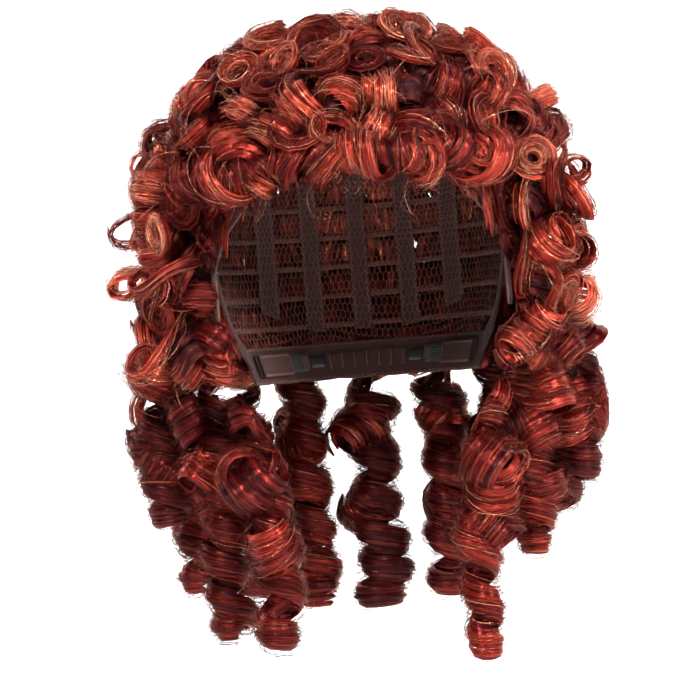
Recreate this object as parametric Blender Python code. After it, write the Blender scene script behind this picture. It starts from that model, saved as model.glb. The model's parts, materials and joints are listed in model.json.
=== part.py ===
"""A costume wig: a wefted stretch cap, its bands, adjusters and ear tabs, and its curled hair.

Metres, +Z up.  The wig faces -Y.  The origin is the centre of the head's widest circumference.
Azimuths are counted about Z from the front (-Y) towards +X.
"""

import math
import random

import bmesh
import bpy
from mathutils import Matrix, Vector

# The head form that the cap is cut for
HEAD_HALF_WIDTH = 0.077
HEAD_HALF_DEPTH = 0.097
HEAD_RISE = 0.092
HEAD_DROP = 0.130

# Cap layers, as distances out from the head form
NET = (0.0004, 0.0014)
RIB = (0.0024, 0.0032)
WEFT = (0.0042, 0.0054)
HAIR_BASE = 0.0072
BAND_WIDTH = 0.012
SEAM_GAP = 0.0008
RIB_WIDTH = 0.010
WEFT_WIDTH = 0.003

# The cap's lower edge: azimuth in degrees and height
CAP_EDGE = (
    (0, 0.030), (40, 0.026), (58, 0.004), (70, -0.010), (82, 0.002), (94, 0.000),
    (116, -0.0636), (180, -0.0636),
)
SIDE_BAND_START = 60.0
CAP_STEP = 10
SIDE_BAND_END = 116.0
WEFT_HEIGHTS = (-0.044, -0.028, -0.012, 0.004, 0.020, 0.036, 0.052, 0.068)

# The nape is a cone about an upright axis behind the head's centre
NAPE_AXIS_Y = 0.022
NAPE_RADIUS = 0.062
NAPE_SLOPE = 0.3
NAPE_LOW = -0.072
NAPE_HIGH = -0.052
NAPE_REACH = 73.0
BAND_THICKNESS = 0.0012

# Adjusters: angles round the nape axis from the back, in degrees
LOOP_TAPE_REACH = 20.0
LOOP_ANGLES = (-18, -12, -6, 0, 6, 12, 18)
LOOP_WIDTH = 1.6
HOOK_TIP = 21.0
HOOK_HEEL = 30.0
STRAP_TAIL = 65.0
SLEEVE = (42.0, 67.0)
STRAP_LOW = -0.067
STRAP_HIGH = -0.057
STRAP_LAYER = (-0.0034, -0.0026)
HOOK_LOW = -0.065
HOOK_HIGH = -0.059

# Ear tabs
TAB_X = 0.0740
TAB_Y = (-0.040, -0.018)
TAB_Z = (-0.040, -0.0145)
TAB_THICKNESS = 0.0018
STAY_WIDTH = 0.0034
STAY_THICKNESS = 0.0006
STAY_CLEARANCE = 0.0003

# The hair's outer surface
HAIR_HALF_WIDTH = 0.120
HAIR_FRONT = 0.122
HAIR_BACK = 0.126
HAIR_RISE = 0.122
HAIR_SQUARENESS = 2.4
HAIR_FLARE = 0.004
HAIR_LOW = -0.066
LOW_HAIR_STAND_OFF = 0.017
LUMP = 0.003
PATCH_GAP = 0.35
FRONT_DROOP = 11.0

FRINGE_AZIMUTHS = (-46, -27.6, -9.2, 9.2, 27.6, 46)
FRINGE_HEIGHT = 0.033
FRINGE_RADIUS = 0.0135
FRINGE_LENGTH = 0.028

# Hanging ringlets: name, x, y, bottom and radius; each turns at PIVOT_HEIGHT
PIVOT_HEIGHT = -0.083
RINGLETS = (
    ("ringlet_left_1", -0.054, -0.018, -0.208, 0.012),
    ("ringlet_left_2", -0.080, 0.006, -0.204, 0.012),
    ("ringlet_left_3", -0.110, 0.034, -0.142, 0.014),
    ("ringlet_left_4", -0.096, 0.066, -0.182, 0.014),
    ("ringlet_left_5", -0.070, 0.090, -0.190, 0.014),
    ("ringlet_left_6", -0.038, 0.105, -0.196, 0.014),
    ("ringlet_back", 0.000, 0.110, -0.202, 0.014),
    ("ringlet_right_6", 0.038, 0.105, -0.198, 0.014),
    ("ringlet_right_5", 0.070, 0.090, -0.166, 0.014),
    ("ringlet_right_4", 0.096, 0.066, -0.152, 0.014),
    ("ringlet_right_3", 0.108, 0.034, -0.134, 0.014),
    ("ringlet_right_2", 0.078, 0.006, -0.172, 0.012),
    ("ringlet_right_1", 0.052, -0.018, -0.219, 0.012),
)

SIDES = (("left", -1), ("right", 1))

MATERIALS = {
    "hair": ((0.26, 0.035, 0.014), 0.35, 0.0),
    "cap_net": ((0.030, 0.012, 0.010), 0.90, 0.0),
    "cap_tape": ((0.045, 0.018, 0.014), 0.80, 0.0),
    "weft_tape": ((0.11, 0.020, 0.010), 0.75, 0.0),
    "elastic": ((0.020, 0.018, 0.018), 0.85, 0.0),
    "plastic": ((0.012, 0.012, 0.013), 0.40, 0.0),
    "steel": ((0.55, 0.55, 0.57), 0.30, 1.0),
}


def material(name):
    """The named material, made once."""
    found = bpy.data.materials.get(name)
    if found:
        return found
    colour, roughness, metallic = MATERIALS[name]
    made = bpy.data.materials.new(name)
    made.use_nodes = True
    shader = made.node_tree.nodes["Principled BSDF"]
    shader.inputs["Base Color"].default_value = (*colour, 1.0)
    shader.inputs["Roughness"].default_value = roughness
    shader.inputs["Metallic"].default_value = metallic
    return made


def finish(name, bm, material_name, origin=(0.0, 0.0, 0.0)):
    """Turn a bmesh in world coordinates into the object, with its origin at the given point."""
    bmesh.ops.remove_doubles(bm, verts=bm.verts, dist=1e-6)
    bmesh.ops.recalc_face_normals(bm, faces=bm.faces)
    bmesh.ops.translate(bm, verts=bm.verts, vec=-Vector(origin))
    mesh = bpy.data.meshes.new(name)
    bm.to_mesh(mesh)
    bm.free()
    mesh.shade_smooth()
    mesh.set_sharp_from_angle(angle=math.radians(50))
    mesh.materials.append(material(material_name))
    made = bpy.data.objects.new(name, mesh)
    made.location = origin
    bpy.context.collection.objects.link(made)
    return made


# --- Surfaces -------------------------------------------------------------------------------

def head_point(azimuth, lift, out=0.0):
    """On the head form grown by out: azimuth and elevation parameter in degrees."""
    a, e = math.radians(azimuth), math.radians(lift)
    rise = HEAD_RISE if lift >= 0 else HEAD_DROP
    flat = math.cos(e)
    return Vector((
        (HEAD_HALF_WIDTH + out) * flat * math.sin(a),
        -(HEAD_HALF_DEPTH + out) * flat * math.cos(a),
        (rise + out) * math.sin(e),
    ))


def lift_at(height, out=0.0):
    """The elevation parameter at which the grown head form has this height."""
    rise = (HEAD_RISE if height >= 0 else HEAD_DROP) + out
    return math.degrees(math.asin(max(-1.0, min(1.0, height / rise))))


def cap_edge(azimuth):
    """Height of the cap's lower edge, eased between the points of its outline."""
    turn = abs((azimuth + 180.0) % 360.0 - 180.0)
    for (a0, h0), (a1, h1) in zip(CAP_EDGE, CAP_EDGE[1:]):
        if turn <= a1:
            share = (turn - a0) / (a1 - a0)
            return h0 + (h1 - h0) * (0.5 - 0.5 * math.cos(math.pi * share))
    return CAP_EDGE[-1][1]


def saddle_point(x, turn, out):
    """On the grown head form above the line x: turn runs from the front over the top, in degrees."""
    width = HEAD_HALF_WIDTH + out
    share = math.sqrt(1.0 - (x / width) ** 2)
    t = math.radians(turn)
    rise = HEAD_RISE if math.sin(t) >= 0 else HEAD_DROP
    return Vector((
        x,
        -(HEAD_HALF_DEPTH + out) * share * math.cos(t),
        (rise + out) * share * math.sin(t),
    ))


def nape_point(angle, z, out):
    """On the nape cone: angle from the back towards +X, in degrees."""
    radius = NAPE_RADIUS + NAPE_SLOPE * (z - NAPE_LOW) + out
    a = math.radians(angle)
    return Vector((radius * math.sin(a), NAPE_AXIS_Y + radius * math.cos(a), z))


def hair_point(azimuth, lift):
    """On the hair's outer surface; below the widest line it hangs almost straight down."""
    a = math.radians(azimuth)
    depth = HAIR_FRONT if math.cos(a) > 0 else HAIR_BACK
    if lift >= 0:
        e = math.radians(lift)
        flat = math.cos(e) ** (2.0 / HAIR_SQUARENESS)
        z = HAIR_RISE * math.sin(e) ** (2.0 / HAIR_SQUARENESS)
        flare = 0.0
    else:
        flat = 1.0
        z = HEAD_DROP * math.sin(math.radians(lift))
        flare = HAIR_FLARE * z / HAIR_LOW
    return Vector((
        (HAIR_HALF_WIDTH + flare) * flat * math.sin(a),
        -(depth + flare) * flat * math.cos(a),
        z,
    ))


# --- Solids ---------------------------------------------------------------------------------

def skin(bm, grid, closed):
    """Quads over a grid of vertices, columns first."""
    columns = len(grid)
    for i in range(columns if closed else columns - 1):
        left, right = grid[i], grid[(i + 1) % columns]
        for j in range(len(left) - 1):
            bm.faces.new((left[j], right[j], right[j + 1], left[j + 1]))


def slab(name, inner, outer, across, up, material_name, closed=False):
    """The closed solid between two surfaces, each a function of u and v from 0 to 1."""
    bm = bmesh.new()
    columns = across if closed else across + 1
    sheets = []
    for surface in (inner, outer):
        grid = []
        for i in range(columns):
            grid.append([bm.verts.new(surface(i / across, j / up)) for j in range(up + 1)])
        skin(bm, grid, closed)
        sheets.append(grid)
    low, high = sheets
    for end in (0, up):
        skin(bm, [[low[i][end], high[i][end]] for i in range(columns)], closed)
    if not closed:
        for end in (0, columns - 1):
            skin(bm, [[a, b] for a, b in zip(low[end], high[end])], False)
    return finish(name, bm, material_name)


def arc_prism(name, outline, low, high, material_name, origin=(0.0, 0.0, 0.0)):
    """An outline of (angle, out) points round the nape, raised from low to high."""
    bm = bmesh.new()
    rings = [[bm.verts.new(nape_point(a, z, out)) for a, out in outline] for z in (low, high)]
    count = len(outline)
    for i in range(count):
        j = (i + 1) % count
        bm.faces.new((rings[0][i], rings[0][j], rings[1][j], rings[1][i]))
    for ring in rings:
        bm.faces.new(ring)
    return finish(name, bm, material_name, origin)


def angles_between(start, end, step):
    """Angles from start to end, both included, no further apart than step."""
    count = max(1, math.ceil(abs(end - start) / step))
    return [start + (end - start) * i / count for i in range(count + 1)]


def arc_strip_outline(start, end, near, far, step=6.0):
    """The outline of a plain strip round the nape."""
    angles = angles_between(start, end, step)
    return [(a, near) for a in angles] + [(a, far) for a in reversed(angles)]


def lobed_roll(name, start, end, radius, rings, sides, lobe, twist, origin):
    """A closed roll of hair from start to end, with half-round ends and a slow spiral lobe."""
    axis = end - start
    length = axis.length
    axis.normalize()
    side = axis.cross(Vector((0.0, 0.0, 1.0)) if abs(axis.z) < 0.9 else Vector((1.0, 0.0, 0.0)))
    side.normalize()
    other = axis.cross(side)
    bm = bmesh.new()
    grid = []
    for i in range(sides):
        turn = 2.0 * math.pi * i / sides
        column = [bm.verts.new(start - axis * radius)]
        for j in range(1, rings):
            along = -radius + (length + 2.0 * radius) * 0.5 * (1.0 - math.cos(math.pi * j / rings))
            past = max(-along, along - length, 0.0)
            reach = math.sqrt(max(radius * radius - past * past, 0.0))
            reach *= 1.0 - lobe * (1.0 + math.cos(2.0 * turn - twist * along)) / 2.0
            spoke = side * math.cos(turn) + other * math.sin(turn)
            column.append(bm.verts.new(start + axis * along + spoke * reach))
        column.append(bm.verts.new(end + axis * radius))
        grid.append(column)
    skin(bm, grid, True)
    return finish(name, bm, "hair", origin)


# --- The cap --------------------------------------------------------------------------------

def crown_net():
    """The stretch net, from the bands' upper edges to the top of the head."""
    def surface(out):
        def point(u, v):
            azimuth = 360.0 * u
            low = lift_at(cap_edge(azimuth) + BAND_WIDTH + SEAM_GAP, out)
            return head_point(azimuth, low + (90.0 - low) * v, out)
        return point
    slab("crown_net", surface(NET[0]), surface(NET[1]), 360 // CAP_STEP, 6, "cap_net", closed=True)


def edge_band(name, start, end):
    """A sewn band along the cap's edge, bent at the same azimuths as the net's edge."""
    bends = [a for a in range(-180, 181, CAP_STEP) if min(start, end) < a < max(start, end)]
    azimuths = [min(start, end)] + bends + [max(start, end)]
    pieces = len(azimuths) - 1

    def surface(out):
        def point(u, v):
            azimuth = azimuths[round(u * pieces)]
            return head_point(azimuth, lift_at(cap_edge(azimuth) + BAND_WIDTH * v, out), out)
        return point
    slab(name, surface(NET[0]), surface(NET[0] + BAND_THICKNESS), pieces, 1, "cap_tape")


def bands():
    edge_band("front_band", -SIDE_BAND_START, SIDE_BAND_START)
    for side, sign in SIDES:
        start = sign * (SIDE_BAND_START + PATCH_GAP)
        edge_band(f"side_band_{side}", start, sign * SIDE_BAND_END)
    outline = arc_strip_outline(-NAPE_REACH, NAPE_REACH, 0.0, BAND_THICKNESS, step=10.0)
    arc_prism("nape_band", outline, NAPE_LOW, NAPE_HIGH, "cap_tape")


def rib(name, x, start, end):
    """A tape from the front band over the net to the nape."""
    def surface(out):
        def point(u, v):
            return saddle_point(x + RIB_WIDTH * (v - 0.5), start + (end - start) * u, out)
        return point
    slab(name, surface(RIB[0]), surface(RIB[1]), 14, 1, "cap_tape")


def ribs():
    rib("rib_centre", 0.0, 29.0, 200.0)
    for side, sign in SIDES:
        rib(f"rib_{side}_inner", sign * 0.026, 31.0, 201.0)
        rib(f"rib_{side}_outer", sign * 0.050, 42.0, 200.0)


def weft_track(name, height):
    """A machine-sewn track of hair: a ring above the front band, and ear to ear below it."""
    clear = 0.0
    while clear < 170.0 and cap_edge(clear) + BAND_WIDTH + WEFT_WIDTH > height:
        clear += 1.0
    closed = clear == 0.0

    def surface(out):
        def point(u, v):
            azimuth = clear + (360.0 - 2.0 * clear) * u
            return head_point(azimuth, lift_at(height + WEFT_WIDTH * v, out), out)
        return point
    slab(name, surface(WEFT[0]), surface(WEFT[1]), 28, 1, "weft_tape", closed=closed)


# --- Adjusters and ear tabs -----------------------------------------------------------------

def loop_tape():
    """The tape at the middle of the nape, with a row of loops for the hooks."""
    inner = []
    last = -LOOP_TAPE_REACH
    for angle in LOOP_ANGLES:
        low, high = angle - LOOP_WIDTH / 2, angle + LOOP_WIDTH / 2
        inner += [(last, -0.0009), (low, -0.0009), (low, -0.0015), (high, -0.0015)]
        last = high
    inner += [(last, -0.0009), (LOOP_TAPE_REACH, -0.0009)]
    outer = [(a, -0.0003) for a in angles_between(LOOP_TAPE_REACH, -LOOP_TAPE_REACH, 4.0)]
    arc_prism("adjuster_loop_tape", inner + outer, STRAP_LOW, STRAP_HIGH, "cap_tape")


def adjuster(side, sign):
    """A strap and its hook, which slide round the nape, and the casing that the tail runs in."""
    pivot = (0.0, NAPE_AXIS_Y, 0.0)
    near, far = STRAP_LAYER
    strap = arc_strip_outline(sign * (HOOK_HEEL + 0.4), sign * STRAP_TAIL, near, far)
    arc_prism(f"adjuster_strap_{side}", strap, STRAP_LOW, STRAP_HIGH, "elastic", pivot)
    back, tongue = far + 0.0002, -0.0018
    hook = [
        (HOOK_HEEL, near), (HOOK_HEEL - 4.0, near), (HOOK_TIP, near), (HOOK_TIP, tongue),
        (HOOK_HEEL - 4.0, tongue), (HOOK_HEEL - 4.0, back), (HOOK_TIP + 1.2, back),
        (HOOK_TIP + 1.2, far), (HOOK_HEEL - 4.0, far), (HOOK_HEEL, far),
    ]
    # The tongue lies over the plate, joined to it at the tip only.
    arc_prism(f"adjuster_hook_{side}", [(sign * a, out) for a, out in hook],
              HOOK_LOW, HOOK_HIGH, "plastic", pivot)
    casing(f"adjuster_casing_{side}", sign)


def casing(name, sign):
    """The flat tube behind the ear that holds the strap's tail."""
    clear, wall = 0.0004, 0.0006
    near, far = STRAP_LAYER[0] - clear, STRAP_LAYER[1] + clear
    low, high = STRAP_LOW - clear, STRAP_HIGH + clear
    inside = ((low, near), (low, far), (high, far), (high, near))
    outside = (
        (low - wall, near - wall), (low - wall, far + wall),
        (high + wall, far + wall), (high + wall, near - wall),
    )
    bm = bmesh.new()
    angles = [sign * a for a in angles_between(*SLEEVE, 6.0)]
    skins = []
    for section in (inside, outside):
        grid = []
        for z, out in section:
            grid.append([bm.verts.new(nape_point(a, z, out)) for a in angles])
        skin(bm, grid, True)
        skins.append(grid)
    for end in (0, len(angles) - 1):
        skin(bm, [[skins[0][i][end], skins[1][i][end]] for i in range(4)], True)
    finish(name, bm, "cap_tape")


def box(name, low, high, material_name, origin=(0.0, 0.0, 0.0)):
    """A plain block between two corners."""
    bm = bmesh.new()
    size = Vector(high) - Vector(low)
    centre = (Vector(high) + Vector(low)) / 2
    bmesh.ops.create_cube(bm, size=1.0, matrix=Matrix.Translation(centre) @ Matrix.Diagonal((*size, 1.0)))
    return finish(name, bm, material_name, origin)


def ear_tab(side, sign):
    """A tab in front of the ear, with a bendable stay in a pocket that opens at its top."""
    hinge = (sign * (TAB_X + TAB_THICKNESS / 2), (TAB_Y[0] + TAB_Y[1]) / 2, TAB_Z[1])
    bm = bmesh.new()
    radius = 0.006
    width = TAB_Y[1] - TAB_Y[0]
    outline = [(TAB_Y[0], TAB_Z[1]), (TAB_Y[1], TAB_Z[1])]
    for centre_y, first in ((TAB_Y[1] - radius, 0.0), (TAB_Y[0] + radius, -90.0)):
        for step in range(5):
            a = math.radians(first - 22.5 * step)
            outline.append((centre_y + radius * math.cos(a), TAB_Z[0] + radius + radius * math.sin(a)))
    xs = (sign * TAB_X, sign * (TAB_X + TAB_THICKNESS))
    rings = [[bm.verts.new((x, y, z)) for y, z in outline] for x in xs]
    for i in range(len(outline)):
        j = (i + 1) % len(outline)
        bm.faces.new((rings[0][i], rings[0][j], rings[1][j], rings[1][i]))
    for ring in rings:
        bm.faces.new(ring)
    tab = finish(f"ear_tab_{side}", bm, "cap_tape", hinge)

    # The pocket is cut from the outer face and leaves a rim at the foot of the tab.
    middle = (TAB_Y[0] + TAB_Y[1]) / 2
    foot = TAB_Z[0] + 0.004
    deep = sign * (TAB_X + TAB_THICKNESS - STAY_THICKNESS - 2 * STAY_CLEARANCE)
    half = STAY_WIDTH / 2 + STAY_CLEARANCE
    beyond = sign * (TAB_X + TAB_THICKNESS + width)
    xs = sorted((deep, beyond))
    cutter = box(f"pocket_cutter_{side}", (xs[0], middle - half, foot),
                 (xs[1], middle + half, TAB_Z[1] + width), "steel")
    cutter.hide_render = True
    cutter.display_type = "WIRE"
    cut = tab.modifiers.new("pocket", "BOOLEAN")
    cut.object = cutter
    cut.operation = "DIFFERENCE"
    cut.solver = "EXACT"

    inner = deep + sign * STAY_CLEARANCE
    xs = sorted((inner, inner + sign * STAY_THICKNESS))
    box(f"ear_stay_{side}", (xs[0], middle - STAY_WIDTH / 2, foot + STAY_CLEARANCE),
        (xs[1], middle + STAY_WIDTH / 2, TAB_Z[1] - 0.001), "steel", hinge)


# --- The hair -------------------------------------------------------------------------------

def hair_patch(name, azimuths, lifts, droop, across, up, seed):
    """A bank of curls over one part of the cap, lumpy outside; droop lowers its outer lower edge."""
    chance = random.Random(seed)
    lumps = [[chance.uniform(-LUMP, LUMP) for _ in range(up + 1)] for _ in range(across + 1)]
    start, end = azimuths[0] + PATCH_GAP, azimuths[1] - PATCH_GAP
    low, high = lifts[0] + PATCH_GAP, lifts[1] - PATCH_GAP

    def inner(u, v):
        lift = low + (high - low) * v
        stand_off = LOW_HAIR_STAND_OFF * min(1.0, max(0.0, -lift / 25.0))
        point = head_point(start + (end - start) * u, lift, HAIR_BASE + stand_off)
        if lift < 0:
            point.z = HEAD_DROP * math.sin(math.radians(lift))
        return point

    def outer(u, v):
        lift = low + (high - low) * v
        point = hair_point(start + (end - start) * u, lift - droop * (1.0 - v))
        spoke = (point - inner(u, v)).normalized()
        fade = math.cos(math.radians(lift))
        return point + spoke * lumps[round(u * across)][round(v * up)] * fade
    slab(name, inner, outer, across, up, "hair")


def hair_patches():
    """Rows of curls: crown, front, and upper and lower rows at the sides and back."""
    foot = lift_at(HAIR_LOW)
    for index, (side, sign) in enumerate(SIDES):
        def span(near, far):
            return tuple(sorted((sign * near, sign * far)))
        rows = (
            ("front_curls", span(0, 60), (32, 58), FRONT_DROOP, 5, 3),
            ("crown_curls", span(0, 180), (58, 89.6), 0, 9, 3),
            ("side_upper_curls", span(60, 118), (0, 58), 0, 5, 4),
            ("side_lower_curls", span(62, 118), (foot, 0), 0, 5, 4),
            ("back_upper_curls", span(118, 180), (0, 58), 0, 5, 4),
            ("back_lower_curls", span(118, 180), (foot, 0), 0, 5, 4),
        )
        for row, (name, azimuths, lifts, droop, across, up) in enumerate(rows):
            hair_patch(f"{name}_{side}", azimuths, lifts, droop, across, up, 10 * row + index)


def fringe():
    """Rolled curls side by side over the forehead."""
    lift = lift_at(FRINGE_HEIGHT)
    for number, azimuth in enumerate(FRINGE_AZIMUTHS, start=1):
        centre = head_point(azimuth, lift, HAIR_BASE + FRINGE_RADIUS)
        centre.z = FRINGE_HEIGHT
        along = head_point(azimuth + 2.0, lift) - head_point(azimuth - 2.0, lift)
        along.normalize()
        half = along * (FRINGE_LENGTH / 2 - FRINGE_RADIUS)
        lobed_roll(f"fringe_curl_{number}", centre - half, centre + half, FRINGE_RADIUS,
                   6, 10, 0.12, 120.0, centre)


def ringlets():
    """Long spiral curls that hang from the lower edge and swing on their roots."""
    for name, x, y, bottom, radius in RINGLETS:
        root = Vector((x, y, PIVOT_HEIGHT))
        foot = Vector((x, y, bottom + radius))
        lobed_roll(name, root, foot, radius, 12, 9, 0.14, 130.0, root)


def build():
    for old in list(bpy.data.objects):
        bpy.data.objects.remove(old, do_unlink=True)
    crown_net()
    bands()
    ribs()
    for number, height in enumerate(WEFT_HEIGHTS, start=1):
        weft_track(f"weft_track_{number}", height)
    loop_tape()
    for side, sign in SIDES:
        adjuster(side, sign)
        ear_tab(side, sign)
    hair_patches()
    fringe()
    ringlets()


build()
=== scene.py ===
"""Looks of the costume wig: curled hair as bundles of fine strands, on a sewn net cap."""

import json
import math
from collections import namedtuple

import bmesh
import bpy
import numpy as np
from mathutils import Matrix, Vector
from mathutils.bvhtree import BVHTree


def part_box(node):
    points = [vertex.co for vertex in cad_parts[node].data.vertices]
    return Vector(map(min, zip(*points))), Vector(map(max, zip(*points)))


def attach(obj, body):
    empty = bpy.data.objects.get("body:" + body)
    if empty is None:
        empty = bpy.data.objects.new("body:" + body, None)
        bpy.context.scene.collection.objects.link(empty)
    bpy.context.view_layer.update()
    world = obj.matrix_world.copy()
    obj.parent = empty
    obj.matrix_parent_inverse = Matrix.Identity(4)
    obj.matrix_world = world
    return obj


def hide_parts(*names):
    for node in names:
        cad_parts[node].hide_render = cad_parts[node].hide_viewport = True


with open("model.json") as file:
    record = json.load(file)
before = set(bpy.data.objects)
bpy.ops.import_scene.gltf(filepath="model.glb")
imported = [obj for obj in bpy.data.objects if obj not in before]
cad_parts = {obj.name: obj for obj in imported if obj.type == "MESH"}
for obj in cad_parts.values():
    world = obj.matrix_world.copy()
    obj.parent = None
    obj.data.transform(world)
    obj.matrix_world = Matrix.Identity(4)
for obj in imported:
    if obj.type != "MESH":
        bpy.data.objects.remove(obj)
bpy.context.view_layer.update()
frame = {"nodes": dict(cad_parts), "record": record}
NODES = frame["nodes"]
NODE_BODY = {node: body for body, nodes in frame["record"]["behaviour"]["bodies"].items() for node in nodes}

UV_NAME = "OFBake"
MOST_FACES = 92000  # quads in one mesh, so that no piece grows too heavy
FIBRE_WINDOW, SHEET_WINDOW, UNDERCOAT_WINDOW = 1 / 160, 1 / 18, 1 / 24  # how much of U a strand takes
rng = np.random.default_rng(20)


# --- Arrays and meshes ------------------------------------------------------------------------

def unit(vectors):
    """Vectors scaled to length one along the last axis."""
    vectors = np.asarray(vectors, float)
    return vectors / np.maximum(np.linalg.norm(vectors, axis=-1, keepdims=True), 1e-9)


def shares(count):
    """Even steps from nought to one."""
    return np.linspace(0.0, 1.0, count)


def arc(theta, first, second):
    """Points at angles on a unit circle, in the plane of two directions."""
    return np.cos(theta)[:, None] * first + np.sin(theta)[:, None] * second


class Soup:
    """Quads and triangles gathered from many small shapes, for one mesh."""

    def __init__(self):
        self.points, self.quads, self.quad_uvs = [], [], []
        self.tris, self.tri_uvs = [], []
        self.count, self.faces = 0, 0

    def tubes(self, lines, wide, high, across, out, tone, sides=3, ridges=None,
              window=FIBRE_WINDOW, arch=0.0):
        """Closed tubes along lines (strand, point, xyz), with half sizes wide and high.

        Ridges scale the height of each side's corner, and arch bends a wide tube's edges back.
        """
        strands, steps = lines.shape[:2]
        turns = 2.0 * np.pi * (np.arange(sides) + 0.5) / sides - np.pi / 2
        if ridges is None:
            ridges = np.ones((strands, sides))
        height = high[..., None] * np.sin(turns) * ridges[:, None, :] - arch * np.cos(turns) ** 2
        ring = (lines[:, :, None, :]
                + (wide[..., None] * np.cos(turns))[..., None] * across[:, :, None, :]
                + height[..., None] * out[:, :, None, :])
        self.points.append(ring.reshape(-1, 3))
        index = self.count + np.arange(strands * steps * sides).reshape(strands, steps, sides)
        near, far = index[:, :-1], index[:, 1:]
        quads = np.stack((near, np.roll(near, -1, 2), np.roll(far, -1, 2), far), -1)
        self.quads.append(quads.reshape(-1, 4))
        along = shares(steps)
        u0 = tone[:, None, None] + (np.arange(sides) / sides)[None, None, :] * window
        u0 = np.broadcast_to(u0, (strands, steps - 1, sides))
        u1 = u0 + window / sides
        v0 = np.broadcast_to(along[None, :-1, None], u0.shape)
        v1 = np.broadcast_to(along[None, 1:, None], u0.shape)
        corners = ((u0, v0), (u1, v0), (u1, v1), (u0, v1))
        uv = np.stack([np.stack(corner, -1) for corner in corners], -2)
        self.quad_uvs.append(uv.reshape(-1, 4, 2))
        for end, flip in ((0, True), (steps - 1, False)):
            for k in range(1, sides - 1):
                tri = np.stack((index[:, end, 0], index[:, end, k], index[:, end, k + 1]), -1)
                self.tris.append(tri[:, ::-1] if flip else tri)
                flat = np.stack((tone, np.full(strands, along[end])), -1)
                self.tri_uvs.append(np.repeat(flat[:, None, :], 3, 1))
        self.count += strands * steps * sides
        self.faces += strands * (steps - 1) * sides

    def mesh(self, name):
        """The gathered shapes as one smooth mesh with its UV layer."""
        points = np.concatenate(self.points)
        quads = np.concatenate(self.quads)
        tris = np.concatenate(self.tris)
        loops = np.concatenate((quads.ravel(), tris.ravel()))
        starts = np.concatenate((np.arange(len(quads)) * 4, len(quads) * 4 + np.arange(len(tris)) * 3))
        totals = np.concatenate((np.full(len(quads), 4), np.full(len(tris), 3)))
        uvs = np.concatenate((np.concatenate(self.quad_uvs).reshape(-1, 2),
                              np.concatenate(self.tri_uvs).reshape(-1, 2)))
        mesh = bpy.data.meshes.new(name)
        mesh.vertices.add(len(points))
        mesh.vertices.foreach_set("co", points.astype(np.float32).ravel())
        mesh.loops.add(len(loops))
        mesh.loops.foreach_set("vertex_index", loops.astype(np.int32))
        mesh.polygons.add(len(totals))
        mesh.polygons.foreach_set("loop_start", starts.astype(np.int32))
        mesh.polygons.foreach_set("use_smooth", np.ones(len(totals), bool))
        layer = mesh.uv_layers.new(name=UV_NAME)
        layer.uv.foreach_set("vector", uvs.astype(np.float32).ravel())
        mesh.update()
        mesh.validate()
        return mesh


def bmesh_to_mesh(bm, name, sharp_degrees=180):
    """A smooth mesh from a bmesh, with sharp edges where it bends more than the angle."""
    mesh = bpy.data.meshes.new(name)
    bm.to_mesh(mesh)
    bm.free()
    mesh.shade_smooth()
    if sharp_degrees < 180:
        mesh.set_sharp_from_angle(angle=math.radians(sharp_degrees))
    return mesh


def add_object(name, data):
    made = bpy.data.objects.new(name, data)
    bpy.context.scene.collection.objects.link(made)
    return made


def add_piece(name, mesh, material, body, replaced=()):
    """Puts a mesh in the scene as a piece that rides on a body."""
    piece = add_object(name, mesh)
    piece.data.materials.append(material)
    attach(piece, body)
    if replaced:
        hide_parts(*replaced)


# --- Materials --------------------------------------------------------------------------------

class Nodes:
    """A short way to build a material's node tree."""

    def __init__(self, name):
        self.material = bpy.data.materials.new(name)
        self.material.use_nodes = True
        self.tree = self.material.node_tree
        self.shader = self.tree.nodes["Principled BSDF"]

    def add(self, kind, **settings):
        node = self.tree.nodes.new(kind)
        for key, value in settings.items():
            setattr(node, key, value)
        return node

    def feed(self, socket, value):
        """Sets a socket to a number or a colour, or links an output to it."""
        if isinstance(value, tuple):
            value = (*value, 1.0)[:len(socket.default_value)]
        if isinstance(value, (int, float, tuple)):
            socket.default_value = value
        else:
            self.tree.links.new(value, socket)

    def set(self, name, value):
        self.feed(self.shader.inputs[name], value)

    def math(self, operation, a, b):
        node = self.add("ShaderNodeMath", operation=operation)
        self.feed(node.inputs[0], a)
        self.feed(node.inputs[1], b)
        return node.outputs[0]

    def ramp(self, factor, stops):
        """A colour ramp over (position, colour) stops."""
        node = self.add("ShaderNodeValToRGB")
        elements = node.color_ramp.elements
        while len(elements) < len(stops):
            elements.new(0.5)
        for element, (position, colour) in zip(elements, stops):
            element.position = position
            element.color = (*colour, 1.0)
        self.feed(node.inputs[0], factor)
        return node.outputs[0]

    def noise(self, vector, scale, detail=2.0, roughness=0.5):
        node = self.add("ShaderNodeTexNoise")
        given = {"Roughness": roughness, "Scale": scale, "Detail": detail, "Vector": vector}
        for name, value in given.items():
            self.feed(node.inputs[name], value)
        return node.outputs["Fac"]

    def to_range(self, value, low, high, first=0.0, last=1.0):
        node = self.add("ShaderNodeMapRange")
        for number, given in enumerate((value, first, last, low, high)):
            self.feed(node.inputs[number], given)
        return node.outputs[0]

    def mix(self, factor, a, b, blend="MIX"):
        node = self.add("ShaderNodeMix", data_type="RGBA", blend_type=blend)
        for number, value in ((0, factor), (6, a), (7, b)):
            self.feed(node.inputs[number], value)
        return node.outputs[2]

    def bump(self, height, strength, distance):
        node = self.add("ShaderNodeBump")
        for name, value in (("Strength", strength), ("Distance", distance), ("Height", height)):
            self.feed(node.inputs[name], value)
        self.set("Normal", node.outputs[0])


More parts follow.
